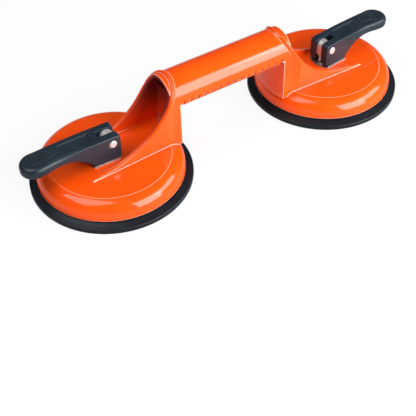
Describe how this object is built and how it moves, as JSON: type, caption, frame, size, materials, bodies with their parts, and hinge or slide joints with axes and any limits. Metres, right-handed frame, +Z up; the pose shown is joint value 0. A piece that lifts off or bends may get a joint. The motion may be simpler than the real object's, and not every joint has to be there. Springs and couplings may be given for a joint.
{
  "type": "suction lifter",
  "caption": "Hand tool that grips a smooth tile or pane: a moulded bridge handle over rubber suction cups, each drawn up and locked by a cam lever.",
  "frame": {"origin": "on the floor, midway between the cup axes", "axes": "+X along the handle from the left cup to the right cup, +Z up; the cups' sealing rings stand on Z = 0"},
  "size_m": [0.3207, 0.118, 0.0694],
  "materials": {
    "body_plastic": "gloss",
    "lever_plastic": "satin",
    "pad_rubber": "satin",
    "plated_steel": "satin",
    "brushed_stem_steel": "brushed",
    "polished_pin_steel": "polished",
    "spring_steel": "satin"
  },
  "bodies": {
    "frame": {"body_moulding": "body_plastic", "right_rubber_pad": "pad_rubber", "right_wear_plate": "plated_steel", "right_spring_seat": "plated_steel", "right_return_spring": "spring_steel", "left_rubber_pad": "pad_rubber", "left_wear_plate": "plated_steel", "left_spring_seat": "plated_steel", "left_return_spring": "spring_steel"},
    "right_stem": {"right_eye_stem": "brushed_stem_steel", "right_insert_plate": "plated_steel", "right_lock_washer": "plated_steel", "right_lock_nut": "plated_steel", "right_pivot_pin": "polished_pin_steel"},
    "right_lever_arm": {"right_lever": "lever_plastic"},
    "left_stem": {"left_eye_stem": "brushed_stem_steel", "left_insert_plate": "plated_steel", "left_lock_washer": "plated_steel", "left_lock_nut": "plated_steel", "left_pivot_pin": "polished_pin_steel"},
    "left_lever_arm": {"left_lever": "lever_plastic"}
  },
  "joints": [
    {"name": "right_stem_slide", "type": "slide", "parent": "frame", "child": "right_stem", "axis": [0, 0, 1], "range_m": [-0.0025, 0], "deforming": ["right_return_spring", "right_rubber_pad"]},
    {"name": "right_lever_hinge", "type": "hinge", "parent": "right_stem", "child": "right_lever_arm", "pos_m": [0.0955, 0, 0.0354], "axis": [0.1045, -0.9945, 0], "range_deg": [0, 90]},
    {"name": "left_stem_slide", "type": "slide", "parent": "frame", "child": "left_stem", "axis": [0, 0, 1], "range_m": [-0.0025, 0], "deforming": ["left_return_spring", "left_rubber_pad"]},
    {"name": "left_lever_hinge", "type": "hinge", "parent": "left_stem", "child": "left_lever_arm", "pos_m": [-0.0955, 0, 0.0354], "axis": [0.0262, 0.9997, 0], "range_deg": [0, 90]}
  ],
  "couplings": [
    {"joint": "right_stem_slide", "follows": "right_lever_hinge", "m_per_rad": -0.0015915},
    {"joint": "left_stem_slide", "follows": "left_lever_hinge", "m_per_rad": -0.0015915}
  ]
}
